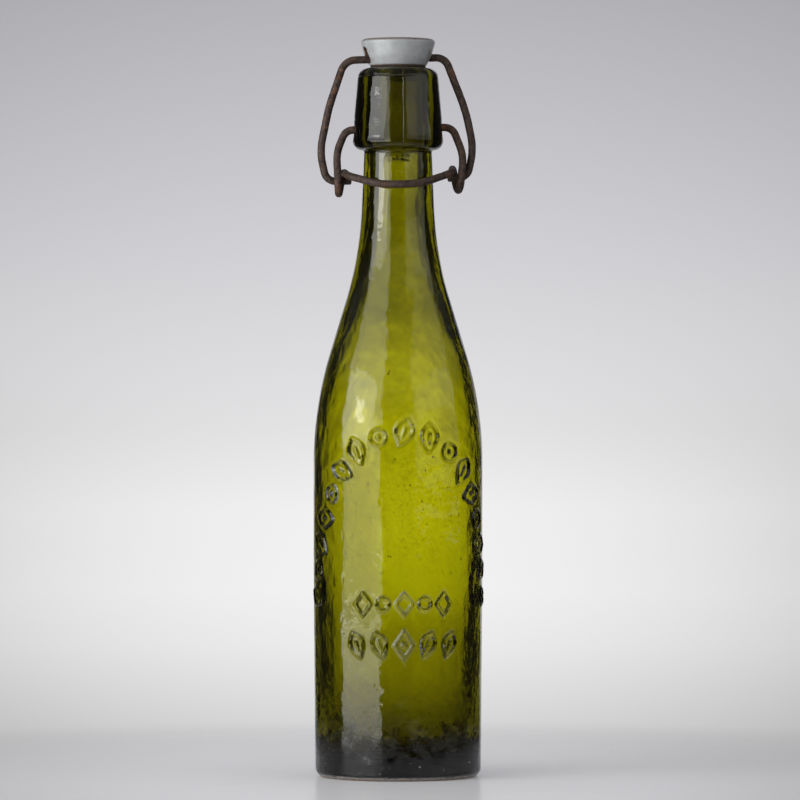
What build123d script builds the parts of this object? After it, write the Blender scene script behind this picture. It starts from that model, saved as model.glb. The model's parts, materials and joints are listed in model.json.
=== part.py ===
from build123d import *
import os
from math import pi, radians, tan

# A swing top beer bottle of a third of a litre, in millimetres.
# +Z is up, the origin is the middle of the base, and the lever's bar crosses the front of the neck at -Y.
# Five loose pieces: the glass bottle, a porcelain stopper, its rubber washer, the bail wire that
# carries the stopper, and the lever wire whose two ends turn in the sides of the bottle's collar.
# The stopper is shut: the bail's hooks sit in the eyes of the lever, just past dead centre.

# ---- glass: outside ----
GLASS_HEIGHT = 251.2
BODY_RADIUS = 30.0
BASE_RADIUS = 29.4
HEEL_RADIUS = 3.2
BARREL_HEIGHT = 70.0          # where the body reaches its full width
BARREL_ARC = 2100.0
SHOULDER_ANGLE = 17.1         # slope of the shoulder, from the vertical
SHOULDER_CORNER = 131.3       # height where the body's side line meets the shoulder's line
SHOULDER_ARC = 133.0
THROAT_ARC = 130.0
NECK_RADIUS = 12.0            # just under the collar
NECK_SLOPE = 0.042            # gain in radius for each mm down the neck
COLLAR_BOTTOM = 222.0
COLLAR_BOTTOM_RADIUS = 16.5
COLLAR_TOP_RADIUS = 14.05
COLLAR_BOTTOM_ROUND = 3.7
LIP_ROUND = 3.4
COLLAR_ROOT_ROUND = 0.6

# ---- glass: inside ----
BODY_WALL = 2.8               # at the middle of the body; it thickens towards the heel and the neck
THICK_FROM = 82.0
THICK_ARC = 600.0
HEEL_INNER_RADIUS = 24.0
BORE_RADIUS = 8.25
BORE_BOTTOM = 227.0
BORE_ARC = 45.0
THROAT_WALL = 4.9
MOUTH_CHAMFER = 0.8
FLOOR_HEIGHT = 6.5
FLOOR_ROUND = 7.0
PUSH_UP_RADIUS = 21.0
PUSH_UP_HEIGHT = 6.0
PUSH_UP_WALL = 5.0

# ---- wire, pivots and closing geometry ----
WIRE_RADIUS = 1.35
TILT = 1.8                    # every wire axis rises towards +X by this angle, as the wires were bent
PIVOT_HEIGHT = 229.8
PIVOT_CLEARANCE = 0.10
PIVOT_HOLE_END = 12.1         # distance of the blind holes' ends from the bottle's axis
PIVOT_PIN_END = 12.4
DISH_RADIUS = 5.2
DISH_DEPTH = 1.4
DISH_HEIGHT = 229.1
HOOK_Y = 1.0                  # the hooks sit this far behind the pivots when shut
HOOK_HEIGHT = 211.8
CROSSBAR_HEIGHT = 254.6
EYE_REACH = 3.75              # from the middle of an eye to its front and back strands
EYE_TOP = (215.5, 215.9)      # left and right
EYE_BOTTOM = 207.4
EYE_BEND = 3.4
WIRE_BEVEL = 0.3

# ---- stopper and washer ----
WASHER_GAP = 0.08             # between the washer and the lip
WASHER_FLANGE = 0.75
WASHER_FLANGE_RADIUS = 9.9
WASHER_TOP_RADIUS = 8.0
WASHER_FOOT_RADIUS = 7.3
WASHER_INNER_EASE = 0.4
STOPPER_BOTTOM_RADIUS = 10.1
STOPPER_FLARE_RADIUS = 11.9   # on the side of the head, at a third of its height
STOPPER_FLARE_HEIGHT = 3.6
STOPPER_RIM_RADIUS = 13.3
STOPPER_RIM_HEIGHT = 8.5      # from the underside of the head to its widest edge
STOPPER_TOP_RADIUS = 12.4
STOPPER_HEIGHT = 9.8
STOPPER_DOME = 0.3
PLUG_NECK_RADIUS = 5.5
PLUG_FOOT_RADIUS = 7.0
PLUG_NECK_LENGTH = 4.5
PLUG_FOOT_LENGTH = 1.7
SLOT_WIDTH = 5.4
SLOT_SHIFT = 1.9              # the head is turned on the bail, so each slot is off centre
SLOT_DEPTH_FROM_AXIS = 10.0
SLOT_TOP = 4.1                # above and below the middle of the crossbar
SLOT_BOTTOM = 1.9
SLOT_ROUND = 1.6

# ---- hand-bent wire: each pair is (left, right), and heights are before the tilt ----
BAIL_SHOULDER = (18.9, 16.7)          # where the crossbar and the leg's line would meet
BAIL_SHOULDER_BEND = (5.5, 4.5)
BAIL_KNEE = (24.5, 24.2)
BAIL_KNEE_HEIGHT = (238.3, 235.3)
BAIL_KNEE_BEND = 60.0
BAIL_ELBOW = (27.8, 26.9)             # widest corner of the leg
BAIL_ELBOW_HEIGHT = (222.2, 222.1)
BAIL_ELBOW_BEND = 22.0
BAIL_FOOT = (25.3, 24.8)              # where the leg's line meets the hook's line
BAIL_FOOT_BEND = 4.0
HOOK_END = (16.5, 17.7)
LEVER_SHOULDER = (18.6, 19.3)
LEVER_SHOULDER_BEND = 4.0
LEVER_KNEE = (21.9, 23.2)
LEVER_KNEE_HEIGHT = (222.0, 219.6)
LEVER_KNEE_BEND = 15.0
LEVER_EYE = (21.3, 21.9)              # bottom of the eye, at the leg
LEVER_EYE_LEAN = 0.6                  # the eye's back strand, further in at the bottom
LEVER_EYE_TOP = (19.4, 19.9)          # where the wire passes over the hook
LEVER_TURN = (18.2, 18.6)
LEVER_TURN_Y = -5.5
LEVER_TURN_HEIGHT = (213.4, 213.3)
LEVER_TURN_BEND = 8.0
LEVER_BAR = 7.0
LEVER_BAR_Y = -14.3
LEVER_BAR_HEIGHT = 209.6
LEVER_BAR_BEND = 12.0

OVERSHOOT = 5.0               # how far a cutting tool runs past what it cuts


def bottle_outline():
    """Half section of the glass, from the push-up out over the body, in at the lip and down inside."""
    slope = tan(radians(SHOULDER_ANGLE))
    # The shoulder's line and the neck's line meet where their radii agree.
    drop = BODY_RADIUS + slope * SHOULDER_CORNER - NECK_RADIUS - NECK_SLOPE * COLLAR_BOTTOM
    throat = drop / (slope - NECK_SLOPE)
    throat_radius = NECK_RADIUS + NECK_SLOPE * (COLLAR_BOTTOM - throat)
    outside = FilletPolyline(
        (PUSH_UP_RADIUS, 0),
        (BASE_RADIUS, 0),
        (BODY_RADIUS, BARREL_HEIGHT),
        (BODY_RADIUS, SHOULDER_CORNER),
        (throat_radius, throat),
        (NECK_RADIUS, COLLAR_BOTTOM),
        (COLLAR_BOTTOM_RADIUS, COLLAR_BOTTOM),
        (COLLAR_TOP_RADIUS, GLASS_HEIGHT),
        (BORE_RADIUS + MOUTH_CHAMFER, GLASS_HEIGHT),
        radius=[
            HEEL_RADIUS,
            BARREL_ARC,
            SHOULDER_ARC,
            THROAT_ARC,
            COLLAR_ROOT_ROUND,
            COLLAR_BOTTOM_ROUND,
            LIP_ROUND,
        ],
    )
    inner_body = BODY_RADIUS - BODY_WALL
    inside = FilletPolyline(
        (BORE_RADIUS, GLASS_HEIGHT - MOUTH_CHAMFER),
        (BORE_RADIUS, BORE_BOTTOM),
        (throat_radius - THROAT_WALL, throat),
        (inner_body, SHOULDER_CORNER),
        (inner_body, THICK_FROM),
        (HEEL_INNER_RADIUS, FLOOR_HEIGHT),
        (0, PUSH_UP_HEIGHT + PUSH_UP_WALL),
        radius=[BORE_ARC, THROAT_ARC, SHOULDER_ARC, THICK_ARC, FLOOR_ROUND],
    )
    push_up = ThreePointArc(
        (0, PUSH_UP_HEIGHT),
        (PUSH_UP_RADIUS / 2, PUSH_UP_HEIGHT * 3 / 4),
        (PUSH_UP_RADIUS, 0),
    )
    mouth = Line(outside @ 1, inside @ 0)
    axis_line = Line(inside @ 1, push_up @ 0)
    return push_up + outside + mouth + inside + axis_line


def revolved(outline):
    """Turns a half section, drawn with the radius along X and the height along Y, about Z."""
    face = Plane.XZ * make_face(outline)
    return revolve(face, Axis.Z, 360)


def collar_radius(height):
    """Outside radius of the tapered collar at a height."""
    share = (height - COLLAR_BOTTOM) / (GLASS_HEIGHT - COLLAR_BOTTOM)
    return COLLAR_BOTTOM_RADIUS + share * (COLLAR_TOP_RADIUS - COLLAR_BOTTOM_RADIUS)


def wire_rod(radius, length):
    """A rod through the bottle's axis along the tilted direction that every wire axis shares."""
    return Rot(0, -TILT, 0) * Rot(0, 90, 0) * Cylinder(radius, length)


def make_bottle():
    """The glass, with a shallow dish and a blind pivot hole in each side of the collar."""
    glass = revolved(bottle_outline())
    surface = collar_radius(DISH_HEIGHT)
    ball = (DISH_RADIUS**2 + DISH_DEPTH**2) / (2 * DISH_DEPTH)
    for side in (-1, 1):
        glass -= Pos(side * (surface - DISH_DEPTH + ball), 0, DISH_HEIGHT) * Sphere(ball)
    drill = wire_rod(WIRE_RADIUS + PIVOT_CLEARANCE, 2 * (surface + OVERSHOOT))
    drill -= Box(2 * PIVOT_HOLE_END, 2 * OVERSHOOT, 2 * OVERSHOOT)
    return glass - Pos(0, 0, PIVOT_HEIGHT) * drill


def make_stopper():
    """Porcelain head with a waist and a foot that hold the washer, bored across for the bail."""
    underside = GLASS_HEIGHT + WASHER_GAP + WASHER_FLANGE
    foot_top = underside - PLUG_NECK_LENGTH
    foot_bottom = foot_top - PLUG_FOOT_LENGTH
    outline = FilletPolyline(
        (0, foot_bottom),
        (PLUG_FOOT_RADIUS, foot_bottom),
        (PLUG_FOOT_RADIUS, foot_top),
        (PLUG_NECK_RADIUS, foot_top),
        (PLUG_NECK_RADIUS, underside),
        (STOPPER_BOTTOM_RADIUS, underside),
        (STOPPER_FLARE_RADIUS, underside + STOPPER_FLARE_HEIGHT),
        (STOPPER_RIM_RADIUS, underside + STOPPER_RIM_HEIGHT),
        (STOPPER_TOP_RADIUS, underside + STOPPER_HEIGHT - STOPPER_DOME),
        (0, underside + STOPPER_HEIGHT),
        radius=[1.2, 0.4, 0.3, 0.3, 0.5, 14.0, 0.7, 0.9],
    )
    head = revolved(outline + Line(outline @ 1, outline @ 0))
    bore = wire_rod(WIRE_RADIUS + PIVOT_CLEARANCE, 4 * STOPPER_RIM_RADIUS)
    head -= Pos(0, 0, CROSSBAR_HEIGHT) * bore
    slot_height = SLOT_TOP + SLOT_BOTTOM
    slot_middle = CROSSBAR_HEIGHT + (SLOT_TOP - SLOT_BOTTOM) / 2
    slot_face = Plane.YZ * RectangleRounded(SLOT_WIDTH, slot_height, SLOT_ROUND)
    for side in (-1, 1):
        slot = extrude(slot_face, amount=side * STOPPER_RIM_RADIUS)
        head -= Pos(side * SLOT_DEPTH_FROM_AXIS, side * SLOT_SHIFT, slot_middle) * slot
    return head


def make_washer():
    """Rubber ring squeezed round the waist of the stopper, with a thin flange over the lip."""
    flange = GLASS_HEIGHT + WASHER_GAP
    top = flange + WASHER_FLANGE
    bottom = top - PLUG_NECK_LENGTH
    hole = PLUG_NECK_RADIUS
    ease = WASHER_INNER_EASE
    outline = FilletPolyline(
        (hole + ease, bottom),
        (WASHER_FOOT_RADIUS, bottom),
        (WASHER_TOP_RADIUS, flange),
        (WASHER_FLANGE_RADIUS, flange),
        (WASHER_FLANGE_RADIUS, top),
        (hole + ease, top),
        (hole, top - ease),
        (hole, bottom + ease),
        radius=[0.4, 0.15, 0.3, 0.2, 0.1, 0.1],
    )
    return revolved(outline + Line(outline @ 1, outline @ 0))


def wire_point(side, out, y, height):
    """A point of a wire: side 0 is the left, side 1 the right, and the tilt lifts the right side."""
    x = (-out, out)[side]
    return (x, y, height + x * tan(radians(TILT)))


def bent_wire(name, points, radii):
    """A round wire bent along straight runs joined by arcs, with slightly broken end edges."""
    path = FilletPolyline(*points, radius=radii)
    wire = sweep(Plane(origin=path @ 0, z_dir=path % 0) * Circle(WIRE_RADIUS), path=path)
    expected = pi * WIRE_RADIUS**2 * path.length
    ends = wire.faces().filter_by(GeomType.PLANE)
    wire = chamfer(ends.edges(), WIRE_BEVEL)
    print(name, "length", round(path.length, 1), "volume/expected", round(wire.volume / expected, 4))
    return wire


def bail_side(side):
    """Points and bends of one leg of the bail, from the end of its hook up to the crossbar."""
    lean = HOOK_Y / (CROSSBAR_HEIGHT - HOOK_HEIGHT)
    knee = BAIL_KNEE_HEIGHT[side]
    elbow = BAIL_ELBOW_HEIGHT[side]
    points = [
        wire_point(side, HOOK_END[side], HOOK_Y, HOOK_HEIGHT),
        wire_point(side, BAIL_FOOT[side], HOOK_Y, HOOK_HEIGHT),
        wire_point(side, BAIL_ELBOW[side], lean * (CROSSBAR_HEIGHT - elbow), elbow),
        wire_point(side, BAIL_KNEE[side], lean * (CROSSBAR_HEIGHT - knee), knee),
        wire_point(side, BAIL_SHOULDER[side], 0, CROSSBAR_HEIGHT),
    ]
    return points, [BAIL_FOOT_BEND, BAIL_ELBOW_BEND, BAIL_KNEE_BEND, BAIL_SHOULDER_BEND[side]]


def make_bail():
    """One wire: hook, leg, crossbar through the stopper, leg, hook."""
    left, left_bends = bail_side(0)
    right, right_bends = bail_side(1)
    return bent_wire("bail_wire", left + right[::-1], left_bends + right_bends[::-1])


def lever_side(side):
    """Points and bends of one side of the lever: pin, leg, eye round the hook, arm and bar."""
    front = HOOK_Y - EYE_REACH
    back = HOOK_Y + EYE_REACH
    knee = LEVER_KNEE_HEIGHT[side]
    knee_y = front * (PIVOT_HEIGHT - knee) / (PIVOT_HEIGHT - EYE_BOTTOM)
    points = [
        wire_point(side, PIVOT_PIN_END, 0, PIVOT_HEIGHT),
        wire_point(side, LEVER_SHOULDER[side], 0, PIVOT_HEIGHT),
        wire_point(side, LEVER_KNEE[side], knee_y, knee),
        wire_point(side, LEVER_EYE[side], front, EYE_BOTTOM),
        wire_point(side, LEVER_EYE[side] - LEVER_EYE_LEAN, back, EYE_BOTTOM),
        wire_point(side, LEVER_EYE_TOP[side], back, EYE_TOP[side]),
        wire_point(side, LEVER_TURN[side], LEVER_TURN_Y, LEVER_TURN_HEIGHT[side]),
        wire_point(side, LEVER_BAR, LEVER_BAR_Y, LEVER_BAR_HEIGHT),
    ]
    bends = [
        LEVER_SHOULDER_BEND,
        LEVER_KNEE_BEND,
        EYE_BEND,
        EYE_BEND,
        EYE_BEND,
        LEVER_TURN_BEND,
        LEVER_BAR_BEND,
    ]
    return points, bends


def make_lever():
    """One wire: pin, leg and eye on each side, joined by the bar across the front of the neck."""
    left, left_bends = lever_side(0)
    right, right_bends = lever_side(1)
    return bent_wire("lever_wire", left + right[::-1], left_bends + right_bends[::-1])


def main():
    os.makedirs("parts", exist_ok=True)
    nodes = {
        "bottle": make_bottle(),
        "stopper": make_stopper(),
        "rubber_washer": make_washer(),
        "bail_wire": make_bail(),
        "lever_wire": make_lever(),
    }
    for name, shape in nodes.items():
        export_step(shape, f"parts/{name}.step")


main()
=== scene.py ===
import bmesh
import bpy
import json
import math
import numpy as np
from mathutils import Matrix, Vector, kdtree, noise


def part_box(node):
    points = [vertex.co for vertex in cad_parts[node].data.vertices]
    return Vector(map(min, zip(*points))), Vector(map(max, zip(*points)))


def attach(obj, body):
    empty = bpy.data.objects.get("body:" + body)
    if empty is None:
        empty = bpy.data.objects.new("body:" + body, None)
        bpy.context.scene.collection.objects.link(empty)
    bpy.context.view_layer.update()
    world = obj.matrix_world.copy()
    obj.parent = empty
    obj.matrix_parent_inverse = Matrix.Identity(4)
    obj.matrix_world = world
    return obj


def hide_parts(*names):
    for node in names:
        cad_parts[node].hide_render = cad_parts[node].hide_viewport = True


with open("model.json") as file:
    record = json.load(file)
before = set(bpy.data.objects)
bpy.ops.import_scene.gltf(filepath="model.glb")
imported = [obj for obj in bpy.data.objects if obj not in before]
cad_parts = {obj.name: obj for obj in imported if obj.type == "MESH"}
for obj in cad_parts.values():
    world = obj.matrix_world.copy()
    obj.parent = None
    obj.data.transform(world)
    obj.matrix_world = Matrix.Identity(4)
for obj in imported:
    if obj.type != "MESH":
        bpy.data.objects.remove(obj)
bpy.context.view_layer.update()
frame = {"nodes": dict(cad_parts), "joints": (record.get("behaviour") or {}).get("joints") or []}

# An old olive green swing top bottle. Shapes are worked out in millimetres and stored in metres,
# in the frame of the CAD model. The glass repeats the CAD part's dimensions, and the wires, the
# stopper and the washer start from the CAD nodes' own shapes.
MM = 0.001
BOTTLE_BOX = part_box("bottle")
STOPPER_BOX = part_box("stopper")
GLASS_HEIGHT = BOTTLE_BOX[1].z / MM
BODY_RADIUS = BOTTLE_BOX[1].x / MM
JOINTS = {joint["name"]: joint for joint in frame["joints"]}

# ---- glass section, as the CAD model has it ----
BASE_RADIUS = 29.4
HEEL_RADIUS = 3.2
BARREL_HEIGHT = 70.0
BARREL_ARC = 2100.0
SHOULDER_CORNER = 131.3
SHOULDER_SLOPE = math.tan(math.radians(17.1))
SHOULDER_ARC = 133.0
THROAT_ARC = 130.0
NECK_RADIUS = 12.0
NECK_SLOPE = 0.042
COLLAR_BOTTOM = 222.0
COLLAR_FOOT_RADIUS = 16.5
LIP_RADIUS = 14.05
BORE_RADIUS = 8.25
BORE_BOTTOM = 227.0
BORE_ARC = 45.0
BODY_WALL = 2.8
THROAT_WALL = 4.9
THICK_FROM = 82.0
THICK_ARC = 600.0
HEEL_INNER_RADIUS = 24.0
FLOOR_ROUND = 7.0
FLOOR_HEIGHT = 6.5
PUSH_UP_RADIUS = 21.0
PUSH_UP_HEIGHT = 6.0
PUSH_UP_WALL = 5.0
MOUTH_ROUND = 0.8

# ---- sockets in the collar ----
TILT = 1.8                       # how far the closure is out of level, in degrees
DISH_RADIUS = 5.2
DISH_DEPTH = 1.4
DISH_HEIGHT = 229.1
PIVOT_HOLE_RADIUS = 1.45
PIVOT_HOLE_END = 12.1
PIVOT_HEIGHT = JOINTS["lever_swing"]["pos_m"][2] / MM

# ---- marks of making ----
SEAM_X = 0.9
MOULD_LINE_HEIGHT = GLASS_HEIGHT - 3.2
CHATTER_X = -0.8
CHATTER_HEIGHT = COLLAR_BOTTOM - 2.6
FRONT_SIDE = (-5.0, -8.0)        # Y, from no front marks to all of them

# ---- lathe grid ----
COLUMNS = 396
COARSE = 3                       # away from the ornament, one column in so many is kept
FRONT_HALF_ANGLE = 96.0
RELIEF_ZONE = (41.0, 130.0)
RELIEF_STEP = 0.56
COLLAR_STEP = 1.0
PLAIN_STEP = 2.4
INNER_FINE_STEP = 1.6
INNER_STEP = 4.0
ON_AXIS = 1e-6

# ---- unevenness of the glass: (how deep, size along the girth, size along the height, seed) ----
# It fades in above the heel and out below the collar, or below the mouth on the inside.
OUTER_FADE = ((4.0, 12.0), (214.0, 221.0))
INNER_FADE = ((6.0, 16.0), (236.0, 243.0))
BODY_WAVES = (0.10, 18.0, 40.0, 3)
BODY_RIPPLE = (0.03, 6.0, 9.0, 4)
COLLAR_RIPPLE = (0.03, 9.0, 5.0, 5)
INNER_WAVES = (0.25, 15.0, 45.0, 12)
INNER_RIPPLE = (0.12, 7.0, 14.0, 9)

# ---- moulded ornament: leaves and beads in an arch, a row of lozenges, a row of leaves ----
STROKE = 1.75
RELIEF = 0.9
SIDE_WEAR = 0.4                  # share of the relief that is worn away at the sides
ARCH_MIDDLE = 50.0               # the arch is the part of a half ellipse above its foot
ARCH_RISE = 72.5
ARCH_HALF_WIDTH = 40.5
ARCH_FOOT = 64.0
ARCH_MOTIFS = 17
ARCH_LEAF = (9.8, 3.0)           # length, half width
ARCH_LEAN = 18.0
BEAD_RADIUS = 2.9
BEAD_DOT = 0.5
ROW_MOTIFS = 5
UPPER_ROW_HEIGHT = 62.0
UPPER_ROW_STEP = 7.4
UPPER_LOZENGE = (3.0, 3.9)       # half width, half height
UPPER_RING = 2.2
LOWER_ROW_HEIGHT = 47.8
LOWER_ROW_STEP = 8.6
LOWER_LOZENGE = (3.2, 4.8)
LOWER_DOT = 0.6
LOWER_LEAF = (9.0, 2.5)
LOWER_LEAN = 20.0
MOTIF_REACH = 9.0                # no motif goes further than this from its middle

# ---- even skins of the parts that start from CAD shapes: voxel sizes ----
WIRE_VOXEL = 0.40
STOPPER_VOXEL = 0.34
WASHER_VOXEL = 0.24

# ---- glass: colours are linear; a band on the inside is (from, to, light let through below, above) ----
CLEAR = (1.0, 1.0, 1.0)
GLASS_COLOUR = (0.880, 0.876, 0.0)
GLASS_DENSITY = 1090.0
GLASS_IOR = 1.52
FILM_AND_SHADE_COLOUR = (0.16, 0.14, 0.10)
FILM_FLOOR = (12.0, 44.0, 0.17, 1.0)
FILM_LEES = (48.0, 68.0, 0.52, 1.0)
# Darker bands inside the neck and the throat.
NECK_DARK_BAND = (156.0, 168.0, 1.0, 0.60)
THROAT_DARK_BAND = (178.0, 206.0, 1.0, 0.72)
# Painted shade inside the neck below the collar, and on the bore's wall round the plug.
COLLAR_SHADE_BAND = (COLLAR_BOTTOM - 4.0, COLLAR_BOTTOM + 4.0, 1.0, 0.34)
PLUG_SHADE_BAND = (COLLAR_BOTTOM + 15.0, COLLAR_BOTTOM + 18.0, 1.0, 0.05)
DREGS_COLOUR = (0.082, 0.064, 0.079)
SPECK_COLOUR = (0.10, 0.08, 0.04)
TOOLED_COLOUR = (0.02, 0.02, 0.01)
SCALE_COLOUR = (0.42, 0.43, 0.42)
CHIP_COLOUR = (0.60, 0.56, 0.50)
# A painted highlight along the heel, in the sole's colour.
SOLE_HIGHLIGHT_COLOUR = (0.40, 0.28, 0.20)

# ---- rust, glaze, rubber, floor ----
RUST_DARK = (0.042, 0.026, 0.020)
RUST_BROWN = (0.088, 0.055, 0.042)
RUST_WARM = (0.135, 0.066, 0.037)
RUST_ORANGE = (0.33, 0.125, 0.04)
GLAZE_GREY = (0.40, 0.415, 0.42)
GLAZE_PALE = (0.47, 0.485, 0.495)
STAIN_COLOUR = (0.17, 0.075, 0.03)
CAKED_COLOUR = (0.085, 0.040, 0.020)
RIM_COLOUR = (0.13, 0.085, 0.06)
BARE_COLOUR = (0.09, 0.06, 0.04)
RUBBER_DARK = (0.030, 0.017, 0.011)
RUBBER_BROWN = (0.085, 0.045, 0.026)
FLOOR_GREY = (0.72, 0.72, 0.73)
FLOOR_PALE = (0.84, 0.84, 0.85)
# The floor's painted shade away from the bottle.
FLOOR_PAINTED_SHADE = (0.60, 0.60, 0.61)

# ---- studio: angles in degrees seen from the bottle; tones are linear ----
# In the world, bearing 0 is +Y, behind the bottle.
GLOW_BEARING = 3.8
BACKDROP_LOW = -5.0
BACKDROP_HIGH = 5.0
BACKDROP_TONES = [
    (-4.6, 0.59),
    (-3.75, 0.64),
    (-3.3, 0.73),
    (-2.7, 0.84),
    (-2.1, 0.895),
    (-1.2, 0.885),
    (-0.3, 0.775),
    (1.3, 0.655),
    (2.6, 0.60),
    (3.6, 0.56),
    (4.6, 0.45),
]
LOBE_BEARING = 6.0
LOBE_HALF_WIDTH = 21.0
LOBE_SOFTNESS = 8.0
GLOW_FALL_WIDTH = 5.0
BACKDROP_TINT = (0.99, 0.985, 1.03)
LOW_GLOW = (0.84, 0.84, 0.84)
SIDE_GLOW = (0.40, 0.40, 0.40)
UNLIT = (0.02, 0.02, 0.02)
ROOM_LOW = (0.025, 0.025, 0.027)
ROOM_HIGH = (0.15, 0.15, 0.16)
LIT_LOW = (0.10, 0.10, 0.10)
LIT_HIGH = (0.62, 0.62, 0.64)
FLOOR_RADIUS = 340.0

# ---- soft boxes: name, bearing (0 is -Y), spread, bottom, top, radiance, distance ----
# Where two overlap, glass mirrors the nearer one, so the brighter ones stand a little nearer.
SOFT_BOXES = [
    ("left_box", -56.0, 58.0, 0.00, 0.80, 1.5, 0.80),
    ("left_box_foot", -56.0, 58.0, -0.35, 0.01, 2.5, 0.79),
    ("left_box_middle", -62.0, 50.0, 0.17, 0.50, 1.95, 0.79),
    ("left_box_core", -60.0, 18.0, 0.275, 0.37, 5.0, 0.78),
    ("right_box", 53.0, 70.0, 0.085, 0.75, 0.39, 0.80),
    ("right_box_core", 53.0, 66.0, 0.33, 0.50, 0.33, 0.79),
]

# ---- camera ----
CAMERA_DISTANCE = 1.850
CAMERA_HEIGHT = 0.1335
CAMERA_YAW = 4.0
CAMERA_SIDE = 0.0007
LENS = 234.5
SENSOR = 36.0


# ---------------------------------------------------------------- small tools
def smooth(low, high, value):
    """Goes from 0 at low to 1 at high, with soft ends."""
    t = np.clip((value - low) / (high - low), 0.0, 1.0)
    return t * t * (3.0 - 2.0 * t)


def mesh_object(name, points, faces):
    """A mesh object from points in millimetres."""
    mesh = bpy.data.meshes.new(name)
    mesh.from_pydata((np.asarray(points) * MM).tolist(), [], faces)
    mesh.validate()
    obj = bpy.data.objects.new(name, mesh)
    bpy.context.scene.collection.objects.link(obj)
    return obj


def apply_modifiers(obj):
    """Keeps what the modifiers make as the object's own mesh."""
    bpy.context.view_layer.update()
    graph = bpy.context.evaluated_depsgraph_get()
    made = bpy.data.meshes.new_from_object(obj.evaluated_get(graph))
    old = obj.data
    obj.modifiers.clear()
    obj.data = made
    made.name = obj.name
    bpy.data.meshes.remove(old)


def vertices_of(obj):
    """The object's vertices as an array, in millimetres."""
    flat = np.empty(len(obj.data.vertices) * 3, np.float32)
    obj.data.vertices.foreach_get("co", flat)
    return flat.reshape(-1, 3).astype(float) / MM


def set_vertices(obj, points):
    """Moves the object's vertices to points in millimetres."""
    obj.data.vertices.foreach_set("co", (points * MM).astype(np.float32).ravel())
    obj.data.update()


def normals_of(obj):
    """The object's vertex normals as an array."""
    flat = np.empty(len(obj.data.vertices) * 3, np.float32)
    obj.data.vertex_normals.foreach_get("vector", flat)
    return flat.reshape(-1, 3).astype(float)


def noise_field(points, size, seed, octaves=1):
    """Smooth noise of about -1..1 at each point, with features of that size in millimetres."""
    offset = Vector((seed * 17.3, seed * 5.1, seed * 9.7))
    value = np.zeros(len(points))
    gain = 1.0
    for octave in range(octaves):
        scale = 2.0**octave / size
        value += gain * np.array([noise.noise(Vector(p) * scale + offset) for p in points])
        gain *= 0.5
    return value


def add_value(obj, name, values):
    """Stores one number for each vertex, which a material reads with an Attribute node."""
    layer = obj.data.attributes.new(name, "FLOAT", "POINT")
    layer.data.foreach_set("value", np.asarray(values, np.float32))


def shade_smooth(obj, angle):
    """Smooth shading, sharp where two faces meet at more than an angle in degrees."""
    obj.data.shade_smooth()
    obj.data.set_sharp_from_angle(angle=math.radians(angle))


# ---------------------------------------------------------------- glass section
def rounded_chain(corners):
    """Points along a path of (radius, height, corner round), with true arcs at its corners."""
    chain = [np.array(corners[0][:2])]
    for before, corner, after in zip(corners, corners[1:], corners[2:]):
        here = np.array(corner[:2])
        back = np.array(before[:2]) - here
        ahead = np.array(after[:2]) - here
        back_dir = back / np.linalg.norm(back)
        ahead_dir = ahead / np.linalg.norm(ahead)
        half = math.acos(np.clip(back_dir @ ahead_dir, -1.0, 1.0)) / 2
        reach = corner[2] / math.tan(half)
        centre = here + (back_dir + ahead_dir) / np.linalg.norm(back_dir + ahead_dir) * (
            corner[2] / math.sin(half)
        )
        start = here + back_dir * reach - centre
        turn = math.pi - 2 * half
        side = 1.0 if np.cross(back_dir, ahead_dir) < 0 else -1.0
        steps = max(6, math.ceil(turn * corner[2] / 1.2))
        for step in range(steps + 1):
            angle = side * turn * step / steps
            spin = np.array([[math.cos(angle), -math.sin(angle)], [math.sin(angle), math.cos(angle)]])
            chain.append(centre + spin @ start)
    chain.append(np.array(corners[-1][:2]))
    return np.array(chain)


def throat_corner():
    """Where the shoulder's line and the neck's line meet: (radius, height)."""
    drop = BODY_RADIUS + SHOULDER_SLOPE * SHOULDER_CORNER - NECK_RADIUS - NECK_SLOPE * COLLAR_BOTTOM
    height = drop / (SHOULDER_SLOPE - NECK_SLOPE)
    return NECK_RADIUS + NECK_SLOPE * (COLLAR_BOTTOM - height), height


def outer_chain():
    """The outer skin's section, from the middle of the underside to inside the mouth."""
    radius, height = throat_corner()
    walls = [
        (PUSH_UP_RADIUS - 0.4, 0.25, 0.0),
        (PUSH_UP_RADIUS + 0.9, 0.0, 1.6),
        (BASE_RADIUS, 0.0, HEEL_RADIUS),
        (BODY_RADIUS, BARREL_HEIGHT, BARREL_ARC),
        (BODY_RADIUS, SHOULDER_CORNER, SHOULDER_ARC),
        (radius, height, THROAT_ARC),
        (NECK_RADIUS, COLLAR_BOTTOM, 0.6),
        (COLLAR_FOOT_RADIUS, COLLAR_BOTTOM, 3.7),
        (LIP_RADIUS, GLASS_HEIGHT, 3.4),
        (BORE_RADIUS + 0.1, GLASS_HEIGHT, MOUTH_ROUND),
        (BORE_RADIUS + 0.05, GLASS_HEIGHT - 2.0, 0.0),
    ]
    radii = np.linspace(0.0, PUSH_UP_RADIUS - 0.8, 12)
    push_up = np.stack([radii, PUSH_UP_HEIGHT * (1 - (radii / PUSH_UP_RADIUS) ** 2)], 1)
    return np.concatenate([push_up, rounded_chain(walls)])


def inner_chain():
    """The inner skin's section, from inside the mouth to the middle of the floor."""
    radius, height = throat_corner()
    inside = BODY_RADIUS - BODY_WALL
    return rounded_chain(
        [
            (BORE_RADIUS, GLASS_HEIGHT - 3.0, 0.0),
            (BORE_RADIUS, BORE_BOTTOM, BORE_ARC),
            (radius - THROAT_WALL, height, THROAT_ARC),
            (inside, SHOULDER_CORNER, SHOULDER_ARC),
            (inside, THICK_FROM, THICK_ARC),
            (HEEL_INNER_RADIUS, FLOOR_HEIGHT, FLOOR_ROUND),
            (0.0, PUSH_UP_HEIGHT + PUSH_UP_WALL, 0.0),
        ]
    )


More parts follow.
